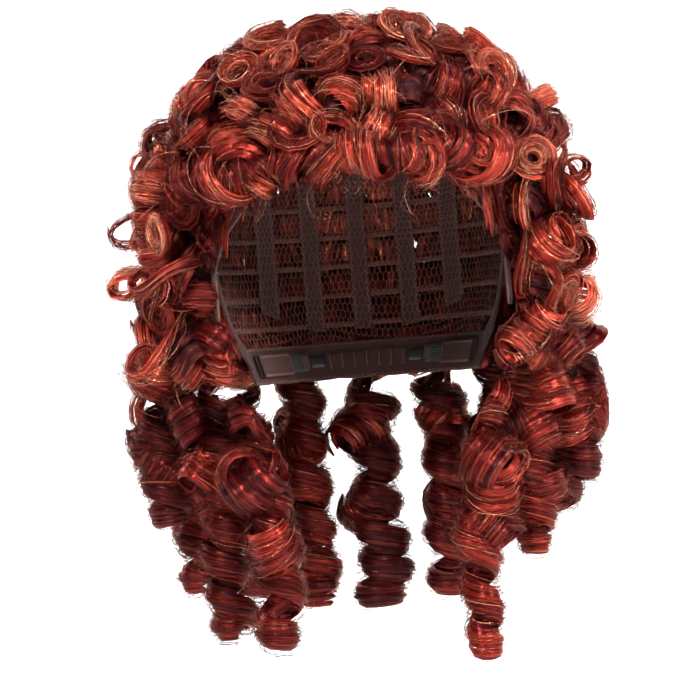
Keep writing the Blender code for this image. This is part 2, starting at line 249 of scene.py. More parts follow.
HAIR_TONES = (
    (0.00, (0.004, 0.0004, 0.0030)),
    (0.25, (0.018, 0.0010, 0.0036)),
    (0.50, (0.112, 0.0040, 0.0044)),
    (0.75, (0.450, 0.0380, 0.0160)),
    (1.00, (1.000, 0.5000, 0.3000)),
)
ROUGHNESS_BY_TONE = ((0.0, (0.60,) * 3), (0.30, (0.38,) * 3), (0.60, (0.25,) * 3), (1.0, (0.14,) * 3))


STREAKS_ACROSS, STREAKS_ALONG, STREAK_CONTRAST = 420.0, 3.5, 1.7
# Painted shade: the roots are darkened to this grey over this share of a strand's length, for the shadow
# under the curls.
ROOT_PAINTED_SHADE, ROOT_PAINTED_SHADE_SHARE = (0.22, 0.22, 0.22), 0.30
HAIR_GLOSS = {"Metallic": 0.55, "IOR": 1.45, "Specular IOR Level": 0.50,
              "Specular Tint": (1.0, 0.54, 0.38), "Anisotropic": 0.88}


def hair_material(name, painted_shade):
    """Glossy synthetic fibre: tone by strand across U, fine streaks along V, roots darkened as painted shade,
    and the whole colour darkened by a factor as painted shade.
    """
    n = Nodes(name)
    parts = n.add("ShaderNodeSeparateXYZ")
    n.feed(parts.inputs[0], n.add("ShaderNodeUVMap", uv_map=UV_NAME).outputs[0])
    across, along = parts.outputs[0], parts.outputs[1]
    place = n.add("ShaderNodeCombineXYZ")
    n.feed(place.inputs[0], n.math("MULTIPLY", across, STREAKS_ACROSS))
    n.feed(place.inputs[1], n.math("MULTIPLY", along, STREAKS_ALONG))
    streak = n.noise(place.outputs[0], 1.0, 3.0, 0.65)
    offset = n.math("MULTIPLY", n.math("SUBTRACT", streak, 0.5), STREAK_CONTRAST)
    tone = n.math("ADD", across, offset)
    colour = n.ramp(tone, HAIR_TONES)
    # Painted shade: the roots are darkened, for the shadow where the hair meets the cap.
    root = n.ramp(along, ((0.0, ROOT_PAINTED_SHADE), (ROOT_PAINTED_SHADE_SHARE, (1.0, 1.0, 1.0))))
    colour = n.mix(1.0, colour, root, "MULTIPLY")
    # Painted shade: the whole colour is multiplied down by this factor, for hair that lies in shadow.
    n.set("Base Color", n.mix(1.0, colour, (painted_shade, painted_shade, painted_shade), "MULTIPLY"))
    n.set("Roughness", n.ramp(tone, ROUGHNESS_BY_TONE))
    for socket, value in HAIR_GLOSS.items():
        n.set(socket, value)
    n.bump(streak, 1.0, 0.0004)
    n.set("Tangent", n.add("ShaderNodeTangent", direction_type="UV_MAP", uv_map=UV_NAME).outputs[0])
    return n.material


def cloth_material(name, dark, light, scale, roughness=0.85):
    """Woven cloth: two threads crossing, from waves in object space."""
    n = Nodes(name)
    place = n.add("ShaderNodeTexCoord").outputs["Object"]
    threads = []
    for direction, distortion in (("Z", 1.0), ("DIAGONAL", 0.0)):
        wave = n.add("ShaderNodeTexWave", wave_type="BANDS", bands_direction=direction)
        for socket, value in (("Scale", scale), ("Distortion", distortion), ("Vector", place)):
            n.feed(wave.inputs[socket], value)
        threads.append(wave.outputs["Fac"])
    height = n.math("MULTIPLY", *threads)
    n.set("Base Color", n.mix(height, dark, light))
    n.set("Roughness", n.to_range(height, roughness, roughness - 0.15))
    n.set("Sheen Weight", 0.08)
    n.set("Sheen Roughness", 0.5)
    n.set("Specular IOR Level", 0.25)
    n.bump(height, 0.5, 0.0003)
    return n.material


def plastic_material(name):
    """Black moulded plastic with a fine grain."""
    n = Nodes(name)
    grain = n.noise(n.add("ShaderNodeTexCoord").outputs["Object"], 900.0, 4.0)
    n.set("Base Color", n.mix(grain, (0.010, 0.010, 0.011), (0.022, 0.021, 0.022)))
    n.set("Roughness", n.to_range(grain, 0.35, 0.5))
    n.bump(grain, 0.15, 0.0001)
    return n.material


def steel_material(name):
    """Spring steel, brushed along its length."""
    n = Nodes(name)
    place = n.add("ShaderNodeMapping")
    n.feed(place.inputs["Scale"], (900.0, 900.0, 40.0))
    n.feed(place.inputs["Vector"], n.add("ShaderNodeTexCoord").outputs["Object"])
    grain = n.noise(place.outputs[0], 1.0, 3.0)
    n.set("Base Color", n.mix(grain, (0.42, 0.42, 0.44), (0.62, 0.62, 0.64)))
    n.set("Roughness", n.to_range(grain, 0.25, 0.4))
    n.set("Metallic", 1.0)
    return n.material


HAIR = hair_material("hair_fibre", 1.0)
# The same hair darkened to 0.45: painted shade for the undercoat that lies under the curls.
PAINTED_SHADE_UNDER_HAIR = hair_material("hair_under_painted_shade", 0.45)
NET_CLOTH = cloth_material("net_thread", (0.075, 0.030, 0.022), (0.190, 0.085, 0.060), 900.0)
TAPE_CLOTH = cloth_material("cap_tape_weave", (0.020, 0.006, 0.005), (0.075, 0.024, 0.017), 420.0)
WEFT_CLOTH = cloth_material("weft_stitching", (0.045, 0.010, 0.007), (0.150, 0.034, 0.018), 600.0)
ELASTIC_CLOTH = cloth_material("elastic_rib", (0.012, 0.011, 0.011), (0.050, 0.046, 0.045), 300.0)
THREAD_COTTON = cloth_material("sewing_thread", (0.190, 0.070, 0.045), (0.420, 0.190, 0.130), 900.0)
PLASTIC = plastic_material("hook_plastic")
STEEL = steel_material("stay_steel")


# --- Hair -------------------------------------------------------------------------------------

UP = np.array((0.0, 0.0, 1.0))
HEAD_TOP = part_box("crown_net")[1]
HEAD_DROP_SHARE = 1.4  # how much further the head form goes down than up
HAIR_CLEARANCE = 0.0068
WIDTH_LIMITS, OVERSHOOT = (-0.132, 0.122), 0.4  # past these widths only this share of the way is kept
TAB_LOW, TAB_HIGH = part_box("ear_tab_right")
TAB_SWEEP = math.tan(math.radians(17))  # a little more than the tab folds out
TAB_MARGIN, TAB_FADE, TAB_CLEARANCE = 0.002, 0.006, 0.0015

SEGMENTS_PER_TURN, LEAD_STEPS = 12, 6
EVEN = 0.12  # how much a coil wanders when it isn't an uneven one
SHEET_SIDES, SHEET_RIDGES, SHEET_OVERLAP = 8, (0.35, 1.25), (0.58, 0.86)
SHEET_TONE_SPREAD = 0.045
ROOT_WIDTH, ROOT_LENGTH, TIP_LENGTH = 0.35, 0.18, 0.25  # as shares of a lock's width and length
FIBRE_HALF_WIDTHS = (0.00008, 0.00017)
# Light fibres are lighter strands at random, and partly a painted highlight for the glints on single hairs.
LOOSE_FIBRES, LIGHT_GLINT_FIBRES = 0.42, 0.55  # as shares of all the fibres
LIGHT_GLINT_OFFSET, DARK_OFFSET = (0.20, 0.13), (-0.14, 0.08)  # tone against the lock's own, and its spread

# How deep one sheet of a lock lies over the next, and how many sheets and single fibres it has
Build = namedtuple("Build", "depth sheets fibres")
SWIRL, BARREL, LOOP = Build(0.0006, 3, 34), Build(0.0005, 4, 36), Build(0.0005, 3, 28)
INNER, FRINGE, FRINGE_END = Build(0.0006, 4, 14), Build(0.0005, 3, 32), Build(0.0005, 5, 34)
RINGLET, COMPANION = Build(0.0004, 5, 66), Build(0.0005, 4, 32)

OUTER_SPACING, OUTER_TRIES, INNER_SPACING, INNER_TRIES = 0.0184, 9000, 0.022, 6000
SWIRLS_HIGH, SWIRLS_LOW, BARRELS = 0.40, 0.22, 0.78  # where each kind of curl ends on a scale of one
FEW_LOOPS_ABOVE, NO_LOOPS_ABOVE = 0.03, 0.07
SIDE_WIDTH = 0.095  # past this width loose loops stand out from the side
STRAY_ARCS, COMPANIONS, WISPS = 3, 5, 4  # pairs of stray hairs to a curl, curls to a ringlet, wisps to a roll


def head_size(points, out):
    """Half sizes of the head form, grown by out, at each point: it is longer below than above."""
    rise = np.where(points[..., 2] > 0, HEAD_TOP.z, HEAD_TOP.z * HEAD_DROP_SHARE)
    flat = np.ones_like(rise)
    return np.stack((flat * HEAD_TOP.x, flat * HEAD_TOP.y, rise), -1) + out


def clear_of_tabs(points):
    """Widths of points, moved out of the wedge that an ear tab folds through where they are beside it."""
    x, y, z = (points[..., part] for part in range(3))
    reach = TAB_MARGIN + TAB_FADE
    near = np.clip((y - TAB_LOW.y + reach) / TAB_FADE, 0, 1)
    near = near * np.clip((TAB_HIGH.y + reach - y) / TAB_FADE, 0, 1)
    near = near * np.clip((z - TAB_LOW.z + 0.011) / 0.007, 0, 1) * (np.abs(x) > TAB_LOW.x - 2 * TAB_FADE)
    least = TAB_HIGH.x + TAB_CLEARANCE + TAB_SWEEP * np.maximum(TAB_HIGH.z - z, 0.0)
    return x + np.sign(x) * near * np.maximum(least - np.abs(x), 0.0) * (z < TAB_HIGH.z + 2 * TAB_MARGIN)


def keep_out(points):
    """Points inside the head form moved out to just above the cap's stitching, and far ones drawn in."""
    level = np.sum((points / head_size(points, HAIR_CLEARANCE)) ** 2, -1, keepdims=True)
    points = np.where(level < 1.0, points / np.sqrt(np.maximum(level, 1e-6)), points)
    x = clear_of_tabs(points)
    within = np.clip(x, *WIDTH_LIMITS)
    x = within + OVERSHOOT * (x - within)
    return np.concatenate((x[..., None], points[..., 1:]), -1)


def head_normal(point):
    """The way out of the head form at a point near it."""
    return unit(point / head_size(point, 0.0) ** 2)


def on_head(point, out):
    """The nearest point of the head form, moved out."""
    size = head_size(point, out)
    return point / math.sqrt(np.sum((point / size) ** 2))


class HairPiece:
    """Locks that belong together, split over several meshes when there are many."""

    def __init__(self, name, body, nodes, material):
        self.name, self.body, self.nodes, self.material = name, body, nodes, material
        self.soups = [Soup()]

    def soup(self):
        if self.soups[-1].faces > MOST_FACES:
            self.soups.append(Soup())
        return self.soups[-1]

    def finish(self):
        for number, soup in enumerate(self.soups, start=1):
            name = self.name if len(self.soups) == 1 else f"{self.name}_{number}"
            replaced = self.nodes if number == 1 else ()
            add_piece(name, soup.mesh(name), self.material, self.body, replaced)


def along(line, share):
    """Points of a line at shares of its length, for many strands at once."""
    place = np.clip(share, 0.0, 1.0) * (len(line) - 1)
    low = np.minimum(place.astype(int), len(line) - 2)
    part = (place - low)[..., None]
    return line[low] * (1.0 - part) + line[low + 1] * part


def waves(rows, s, low, high):
    """Slow sine waves, one a row."""
    pace, phase = rng.uniform(low, high, (rows, 1)), rng.uniform(0, 2 * np.pi, (rows, 1))
    return np.sin(2 * np.pi * pace * s[None, :] + phase)


def lock(piece, line, across, out, width, build, tone, bulge=0.0, tip=0.8, frizz=1.0, cone=0.0, fray=0.16):
    """A lock along a line: furrowed sheets of hair that overlap, with single fibres over them.

    The cone angle turns the sheets' faces towards the curl's axis, as in an open swirl.
    """
    depth, sheets, fibres = build
    s = shares(len(line))
    side = math.cos(cone) * across + math.sin(cone) * out
    face = (-math.sin(cone) * across + math.cos(cone) * out) * (-1.0 if cone > 0.5 else 1.0)
    spread = ROOT_WIDTH + (1 - ROOT_WIDTH) * np.clip(s / ROOT_LENGTH, 0, 1)
    spread = spread * (1.0 - (1 - tip) * np.clip((s - 1 + TIP_LENGTH) / TIP_LENGTH, 0, 1) ** 2)
    end = rng.uniform(1.0 - fray, 1.0, sheets)
    end[rng.integers(sheets)] = 1.0
    share = s[None, :] * end[:, None]
    place = ((np.arange(sheets) + 0.5) / sheets * 2 - 1) * 0.40 * width
    place = place + rng.normal(0, 0.05 * width, sheets)
    drift = waves(sheets, s, 0.5, 2.0) * rng.uniform(0.02, 0.09, (sheets, 1)) * width
    level = rng.permutation(sheets)[:, None] * depth - bulge * (2 * place[:, None] / width) ** 2
    lift = level + waves(sheets, s, 0.5, 2.0) * depth * 0.5
    tilt = rng.normal(0, 0.10, (sheets, 1)) - bulge * 8 * place[:, None] / width ** 2
    half = width / sheets * rng.uniform(*SHEET_OVERLAP, (sheets, 1))
    base, flat, up = along(line, share), along(side, share), along(face, share)
    turned_side = np.cos(tilt)[..., None] * flat + np.sin(tilt)[..., None] * up
    turned_face = -np.sin(tilt)[..., None] * flat + np.cos(tilt)[..., None] * up
    middle = base + ((place[:, None] + drift) * spread)[..., None] * flat + (lift * spread)[..., None] * up
    taper = 0.3 + 0.7 * np.clip((1.0 - s) / 0.10, 0, 1) ** 0.6
    wide = half * (taper * spread * (1 + 0.14 * waves(sheets, s, 1.5, 4.0)))
    ridges = rng.uniform(*SHEET_RIDGES, (sheets, SHEET_SIDES))
    high = 0.00025 + 0.05 * wide
    tones = np.clip(tone + rng.normal(0, SHEET_TONE_SPREAD, sheets), 0.02, 0.9)
    arch = 0.25 * bulge + 0.0004
    piece.soup().tubes(keep_out(middle), wide, high, turned_side, turned_face, tones,
                       SHEET_SIDES, ridges, SHEET_WINDOW, arch)
    fine_hairs(piece, line, side, face, width, depth * sheets, bulge, fibres, tone, spread, frizz)


def fine_hairs(piece, line, across, out, width, depth, bulge, count, tone, spread, frizz, size=1.0):
    """Single fibres that follow a lock, some close to it and some loose enough to cross it.

    The size scales their thickness.
    """
    steps = len(line)
    s = shares(steps)
    loose = (rng.random((count, 1)) < LOOSE_FIBRES) * frizz
    begin = rng.uniform(0.0, 0.25, (count, 1)) * loose
    share = begin + (rng.uniform(0.80, 1.02, (count, 1)) - begin) * s[None, :]
    place = rng.uniform(-0.54, 0.54, (count, 1)) * width
    sway = (waves(count, s, 0.5, 2.4) * (0.03 + 0.20 * loose) + waves(count, s, 2.0, 5.0) * 0.02) * width
    w = (place + sway) * spread
    rise = (depth + 0.0005) * (0.7 + np.abs(rng.normal(0, 0.35, (count, 1))))
    rise = rise + (0.0007 + 0.0018 * (waves(count, s, 0.6, 2.6) + 0.3)) * loose
    d = (rise - bulge * (2 * place / width) ** 2) * spread
    lines = along(line, share) + w[..., None] * along(across, share) + d[..., None] * along(out, share)
    wide = size * rng.uniform(*FIBRE_HALF_WIDTHS, (count, 1)) * (1.0 - 0.30 * loose) * np.ones(steps)
    # Partly random tone, partly painted highlight: about half the fibres are lighter, for glints on single
    # hairs.
    light = rng.random(count) < LIGHT_GLINT_FIBRES
    tones = np.where(light, rng.normal(tone + LIGHT_GLINT_OFFSET[0], LIGHT_GLINT_OFFSET[1], count),
                     rng.normal(tone + DARK_OFFSET[0], DARK_OFFSET[1], count))
    piece.soup().tubes(keep_out(lines), wide, wide * 0.8, along(across, share), along(out, share),
                       np.clip(tones, 0.04, 0.95))


def ribbon_frame(line, axis):
    """Across and outward directions of a ribbon that lies along its coil's axis."""
    way = unit(np.gradient(line, axis=0))
    across = unit(axis[None] - (way @ axis)[:, None] * way)
    return across, np.cross(way, across)


def coil_line(root, root_way, centre, axis, radius, turns, drift, shrink, uneven=EVEN):
    """A lead-in from the root that joins a spiral about an axis, with its frame.

    Each turn drifts along the axis and shrinks, and an uneven coil wanders and goes oval.
    """
    to_root = root - centre
    flat = to_root - axis * (to_root @ axis)
    distance = max(np.linalg.norm(flat), radius * 1.02)
    u = unit(flat)
    w = np.cross(axis, u)
    first = math.acos(radius / distance)
    count = max(8, int(round(turns * SEGMENTS_PER_TURN)))
    share = shares(count)
    theta = first + 2 * np.pi * turns * share
    ripple = 1.0 + uneven * np.sin(rng.uniform(0.6, 1.8) * theta + rng.uniform(0, 6))
    reach = (radius * (1.0 - shrink * share) * ripple)[:, None]
    wander = share[:, None] * rng.normal(0, 0.0022 + 0.012 * (uneven - EVEN), 3)
    oval = 1.0 - 2.2 * (uneven - EVEN) * rng.random()
    along_axis = (drift * turns * (share - 0.25))[:, None] * axis
    coil = centre + wander + reach * arc(theta, u, oval * w) + along_axis
    start, way = coil[0], unit(coil[1] - coil[0])
    pull = np.linalg.norm(start - root) * 0.45
    t = np.linspace(0.0, 1.0, LEAD_STEPS, endpoint=False)[:, None]
    lead = ((1 - t) ** 3 * root + 3 * (1 - t) ** 2 * t * (root + root_way * pull)
            + 3 * (1 - t) * t ** 2 * (start - way * pull) + t ** 3 * start)
    line = keep_out(np.concatenate((lead, coil)))
    across, out = ribbon_frame(line, axis)
    if out[-4] @ (line[-4] - centre) < 0:
        out = -out
    return line, across, out


def outward(middle, normal):
    """One for the faces of a bank that look out, or forward beside the face opening."""
    facing = np.sum(normal * unit(middle * np.array((1, 1, 0.7))), 1)
    front = (normal[:, 1] < -0.75) & (np.abs(middle[:, 0]) > 0.06) & (middle[:, 2] < 0.03)
    return ((facing > 0.35) | front).astype(float)


def outer_samples(spacing, tries):
    """Points spread evenly over the outer faces of the banks, with normals and node names."""
    corners, names = [], []
    for node in BANKS:
        mesh = NODES[node].data
        mesh.calc_loop_triangles()
        co = np.array([v.co for v in mesh.vertices])
        for tri in mesh.loop_triangles:
            corners.append(co[list(tri.vertices)])
            names.append(node)
    corners = np.array(corners)
    cross = np.cross(corners[:, 1] - corners[:, 0], corners[:, 2] - corners[:, 0])
    normal = unit(cross)
    area = np.linalg.norm(cross, axis=1) * outward(corners.mean(1), normal)
    pick = rng.choice(len(area), tries, p=area / area.sum())
    a, b = rng.random(tries), rng.random(tries)
    over = a + b > 1
    a[over], b[over] = 1 - a[over], 1 - b[over]
    spots = (corners[pick, 0] + a[:, None] * (corners[pick, 1] - corners[pick, 0])
             + b[:, None] * (corners[pick, 2] - corners[pick, 0]))
    chosen = []
    for i in range(tries):
        if not chosen or np.min(np.sum((spots[chosen] - spots[i]) ** 2, 1)) > spacing ** 2:
            chosen.append(i)
    return [(spots[i], normal[pick[i]], names[pick[i]]) for i in chosen]


BANKS = [n for n in NODES if n.endswith(("curls_left", "curls_right"))]


def rooted(piece, spot, out, axis, radius, turns, drift, shrink, reach, *look, uneven=EVEN, **more):
    """A curl round a centre, from a root on the cap that lies within a reach above it."""
    above = spot + UP * rng.uniform(*reach) + rng.normal(0, 0.008, 3)
    root = on_head(above, HAIR_CLEARANCE)
    line, across, face = coil_line(root, unit(out + rng.normal(0, 0.35, 3)), spot, axis, radius, turns,
                                   drift, shrink, uneven)
    lock(piece, line, across, face, *look, **more)


def upright(axis, out):
    """The axis or its opposite, so that a curl rolls under from its root."""
    return -axis if axis @ np.cross(out, UP) < 0 else axis


def outer_curl(piece, spot, out):
    """One visible curl: an open swirl, a rolled barrel or a loose, uneven loop."""
    few = BARRELS if spot[2] > NO_LOOPS_ABOVE else 0.86 if spot[2] > FEW_LOOPS_ABOVE else 1.0
    kind = rng.random() * few
    loose = unit(rng.normal(0, 1, 3))
    high = spot[2] > 0.0
    tone = rng.uniform(0.30, 0.66)
    if kind < (SWIRLS_HIGH if high else SWIRLS_LOW):
        rooted(piece, spot - out * 0.006, out, unit(out + 0.5 * loose), rng.uniform(0.0100, 0.0145),
               rng.uniform(1.7, 2.5), rng.uniform(-0.003, 0.001), rng.uniform(0.40, 0.65), (0.006, 0.026),
               rng.uniform(0.006, 0.009), SWIRL, tone, cone=rng.uniform(0.55, 1.15))
    elif kind < BARRELS:
        radius = rng.uniform(0.0075, 0.0125)
        tangent = unit(np.cross(out, loose)) if high else unit(UP + 0.8 * loose)
        rooted(piece, spot - out * radius, out, upright(unit(tangent + 0.2 * loose), out), radius,
               rng.uniform(1.1, 1.9), rng.uniform(0.003, 0.009), rng.uniform(0.1, 0.4), (0.008, 0.030),
               rng.uniform(0.010, 0.017), BARREL, tone, bulge=0.0018)
    else:
        side = abs(spot[0]) > SIDE_WIDTH
        stand_off = 0.0 if not side else 0.005 if spot[0] < 0 else -0.003
        radius = rng.uniform(0.0080, 0.0125)
        facing = np.array((0, 1.0, 0)) + 0.7 * loose if side else np.cross(out, loose) + 1.4 * loose
        rooted(piece, spot + out * (rng.uniform(-0.004, 0.003) + stand_off), out,
               upright(unit(facing), out), radius, rng.uniform(0.9, 1.4), rng.uniform(0.003, 0.008), 0.15,
               (0.004, 0.020), rng.uniform(0.006, 0.011), LOOP, tone + 0.05, uneven=0.30, fray=0.3, frizz=1.6)


def stray_arcs(piece, spot, out):
    """Long thin hairs that arch over a curl in any direction."""
    share = shares(15)
    for _ in range(STRAY_ARCS):
        way = unit(np.cross(out, rng.normal(0, 1, 3)) + 0.3 * rng.normal(0, 1, 3))
        radius, bend = rng.uniform(0.006, 0.020), rng.uniform(1.2, 4.0)
        theta = bend * (share - 0.5)
        axis = unit(np.cross(way, out) + 0.7 * rng.normal(0, 1, 3))
        up = unit(np.cross(axis, way))
        up = up if up @ out > 0 else -up
        line = (spot + rng.normal(0, 0.006, 3) + out * rng.uniform(-0.002, 0.004)
                + radius * (arc(theta, up, way) - 0.6 * up))
        across, face = ribbon_frame(line, axis)
        # Painted highlight: the stray hairs get a light tone, 0.62, for the glints on loose hairs.
        fine_hairs(piece, line, across, face, 0.004, 0.001, 0.0, 2, 0.62, np.ones(len(share)), 1.0, 0.6)


def bank_hair():
    """The curls of every bank, and a sparser layer below them in a dark tone as painted shade."""
    pieces = {node: HairPiece(node.replace("curls", "locks"), NODE_BODY[node], (node,), HAIR)
              for node in BANKS}

    for spot, normal, node in outer_samples(OUTER_SPACING, OUTER_TRIES):
        out = unit(head_normal(spot) + 0.5 * normal)
        lower = 0.0075 * max(0.0, out[2])
        outer_curl(pieces[node], spot - out * (0.0015 + lower + rng.normal(0, 0.0025)), out)
        stray_arcs(pieces[node], spot - out * lower, out)
    for spot, normal, node in outer_samples(INNER_SPACING, INNER_TRIES):
        out = unit(head_normal(spot) + 0.5 * normal)
        centre = spot - out * rng.uniform(0.020, 0.027)
        tangent = upright(unit(np.cross(out, rng.normal(0, 1, 3))), out)
        # Painted shade: the layer under the curls gets a dark tone, 0.12 to 0.28, for the shadow between
        # them.
        rooted(pieces[node], centre, out, tangent, rng.uniform(0.010, 0.013), rng.uniform(1.0, 1.5), 0.004,
               0.2, (0.005, 0.02), 0.017, INNER, rng.uniform(0.12, 0.28), bulge=0.002)
    for piece in pieces.values():
        piece.finish()


def fringe_hair():
    """The rolled curls over the forehead, longer rolls at its two ends, and wisps below them."""
    for number in range(1, 7):
        node = f"fringe_curl_{number}"
        low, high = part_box(node)
        centre = np.array((low + high) / 2)
        piece = HairPiece(f"fringe_locks_{number}", NODE_BODY[node], (node,), HAIR)
        out = head_normal(centre * np.array((1, 1, 0)))
        side = unit(np.cross(UP, out))
        for part in range(5):
            step = (part - 2) * 0.0075
            swirl = part % 2 == 0 and rng.random() < 0.6
            axis = out + rng.normal(0, 0.4, 3) if swirl else side + rng.normal(0, 0.5, 3)
            middle = centre + side * step + rng.normal(0, 0.0035, 3) + UP * 0.002
            root = on_head(centre + UP * 0.03 + side * step * 1.6 + rng.normal(0, 0.005, 3), HAIR_CLEARANCE)
            line, across, face = coil_line(root, out, middle, upright(unit(axis), out),
                                           rng.uniform(0.0070, 0.0125), rng.uniform(1.2, 2.1),
                                           rng.uniform(0.001, 0.011), rng.uniform(0.2, 0.55))
            lock(piece, line, across, face, 0.008 if swirl else rng.uniform(0.009, 0.013), FRINGE,
                 rng.uniform(0.25, 0.60), bulge=0.0 if swirl else 0.0014, cone=0.9 if swirl else 0.0)
        if abs(centre[0]) > 0.05:
            inward = -side * np.sign(side[0]) * np.sign(centre[0])
            start = centre - inward * 0.022 + UP * 0.004 + out * 0.003
            share = shares(34)
            theta = 1.2 + 2 * np.pi * 1.35 * share
            reach = 0.0105 * (0.6 + 0.4 * np.clip(share * 4, 0, 1))[:, None]
            line = start + share[:, None] * (0.045 * inward - 0.006 * UP) + reach * arc(theta, out, -UP)
            across, face = ribbon_frame(line, inward)
            if face[20] @ (line[20] - start - 0.045 * share[20] * inward) < 0:
                face = -face
            lock(piece, line, across, face, 0.017, FRINGE_END, 0.52, bulge=0.002)
        wisps(piece, centre, out, side)
        piece.finish()


def wisps(piece, centre, out, side):
    """A few single hairs that curl down from the fringe over the forehead."""
    for _ in range(WISPS):
        start = centre + side * rng.uniform(-0.016, 0.016) - UP * 0.006
        share = shares(26)
        theta = rng.uniform(0, 2 * np.pi) + rng.choice((-1.0, 1.0)) * rng.uniform(2.5, 5.0) * share
        reach = rng.uniform(0.005, 0.011)
        bend = reach * arc(theta, side, UP) - UP * rng.uniform(0.006, 0.022)
        line = start + share[:, None] * bend - out * 0.004
        across, face = ribbon_frame(line, side)
        fine_hairs(piece, line, across, face, 0.006, 0.0008, 0.0, 3, 0.6, np.ones(len(share)), 1.0, 0.45)


def ringlet_line(top, bottom, radius, turns, lean):
    """A hanging spiral whose turns differ, drawn together at its top and rolled in at its foot."""
    count = int(turns * SEGMENTS_PER_TURN)
    share = shares(count)
    theta = rng.uniform(0, 2 * np.pi) + 2 * np.pi * turns * share
    knots = np.linspace(0.0, 1.0, int(turns) + 2)
    fades = np.clip(knots / 0.25, 0, 1)
    swell = 1.0 + np.interp(share, knots, rng.normal(0, 0.13, len(knots)))
    reach = radius * np.clip(swell, 0.75, 1.2) * np.clip(0.5 + share / 0.14, 0, 1)
    last = 1.0 - 0.75 / turns
    reach = reach * (1.0 - 0.55 * np.clip((share - last) / (1.0 - last), 0, 1) ** 1.2)
    uneven = np.interp(share, knots, rng.normal(0, 0.022, len(knots)))
    fall = np.clip(share / last, 0, 1) + uneven * (share < 0.85)
    middle = top + (bottom - top) * fall[:, None]
    for part in (0, 1):
        middle[:, part] += np.interp(share, knots, rng.normal(0, lean, len(knots)) * fades)
    line = middle + reach[:, None] * arc(theta, np.array((1.0, 0, 0)), np.array((0, 1.0, 0)))
    soft = line.copy()
    soft[1:-1] = 0.25 * line[:-2] + 0.5 * line[1:-1] + 0.25 * line[2:]
    across, out = ribbon_frame(soft, UP)
    if out[5] @ (soft[5] - middle[5]) < 0:
        out = -out
    return soft, across, out


def ringlet_hair():
    """A stacked spiral for each hanging ringlet, with looser curls round its upper half."""
    for node in sorted(n for n in NODES if n.startswith("ringlet_")):
        low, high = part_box(node)
        centre = np.array((low + high) / 2)
        radius = (high.x - low.x) / 2
        piece = HairPiece(node.replace("ringlet", "ringlet_locks"), NODE_BODY[node], (node,), HAIR)
        top = np.array((centre[0], centre[1], high.z + 0.002))
        bottom = np.array((centre[0], centre[1], low.z + 0.008))
        length = top[2] - bottom[2]
        pitch = rng.uniform(0.0175, 0.0225)
        line, across, out = ringlet_line(top, bottom, radius + 0.0005, length / pitch, 0.0030)
        # Painted shade: the ringlets take a darker tone than the curls above, 0.24 to 0.44, for the dimmer
        # light on the lower hair.
        tone = rng.uniform(0.24, 0.44)
        lock(piece, line, across, out, pitch * 1.04, RINGLET, tone, bulge=0.0052, tip=0.95, fray=0.015)
        away = unit(centre * np.array((1, 1, 0)))
        for number in range(COMPANIONS):
            spot = top - UP * (0.010 + (number + rng.random()) / COMPANIONS * 0.62 * length)
            spot = spot + away * rng.uniform(0.001, 0.012) + rng.normal(0, 0.0045, 3)
            axis = unit(UP + rng.normal(0, 0.75, 3))
            root = np.array((centre[0], centre[1], min(top[2], spot[2] + rng.uniform(0.016, 0.028))))
            root = root + rng.normal(0, 0.003, 3)
            curl = coil_line(root, -UP, spot, axis, rng.uniform(0.010, 0.0145), rng.uniform(1.3, 2.3),
                             rng.uniform(0.004, 0.010), rng.uniform(0.05, 0.4))
            lock(piece, *curl, rng.uniform(0.012, 0.018), COMPANION, rng.uniform(0.2, 0.5), bulge=0.002)
        piece.finish()


bank_hair()
fringe_hair()
ringlet_hair()

# --- Cap --------------------------------------------------------------------------------------

CAP_STEP_MOST = 0.0035
NET_THREAD, STITCH_THREAD = 0.00020, 0.00017  # half widths
TAB_STITCH, TAB_STITCH_INSET, TAB_CORNER = 0.0011, 0.0022, 0.0052
TACK_MARGIN, TACK_PITCH = 0.0009, 0.0007
BAND_MIDDLE, GUSSET_THICKNESS = 0.0010, 0.0010
NAPE_AXIS_Y = 0.022
CROWN_RINGS = (0.03, 0.16, 0.30, 0.46, 0.64)
UNDERCOAT_STEP = 0.0155


class Form:
    """A level surface round a centre: the head form, or the upright cone at the nape."""

    def __init__(self, nape):
        self.nape = nape
        self.centre = np.array((0.0, NAPE_AXIS_Y if nape else 0.0, 0.0))

    def level(self, points):
        away = points - self.centre
        if self.nape:
            return np.linalg.norm(away[..., :2], axis=-1)
        return np.sqrt(np.sum((away / head_size(away, 0.0)) ** 2, -1))

    def moved(self, points, level):
        share = (level / self.level(points))[..., None] * np.ones(3)
        if self.nape:
            share[..., 2] = 1.0
        return self.centre + (points - self.centre) * share


def node_bmesh(node):
    bm = bmesh.new()
    bm.from_mesh(NODES[node].data)
    bm.transform(NODES[node].matrix_world)
    bmesh.ops.remove_doubles(bm, verts=bm.verts, dist=1e-6)
    return bm


def mesh_tree(mesh, matrix=Matrix()):
    points = [matrix @ v.co for v in mesh.vertices]
    return BVHTree.FromPolygons(points, [list(p.vertices) for p in mesh.polygons])


def smooth_copy(node, form):
    """The CAD node's mesh cut finely and laid on the curved form that its corners lie on."""
    bm = node_bmesh(node)
    levels = bm.verts.layers.float.new("level")
    for vert in bm.verts:
        vert[levels] = float(form.level(np.array(vert.co)))
    for _ in range(6):
        long_edges = [edge for edge in bm.edges if edge.calc_length() > CAP_STEP_MOST]
        if not long_edges:
            break
        bmesh.ops.subdivide_edges(bm, edges=long_edges, cuts=1)
        bmesh.ops.triangulate(bm, faces=[face for face in bm.faces if len(face.verts) > 3])
    points = np.array([vert.co for vert in bm.verts])
    wanted = np.array([vert[levels] for vert in bm.verts])
    for vert, place in zip(bm.verts, form.moved(points, wanted)):
        vert.co = place
    return bmesh_to_mesh(bm, f"{node}_sewn", 35)


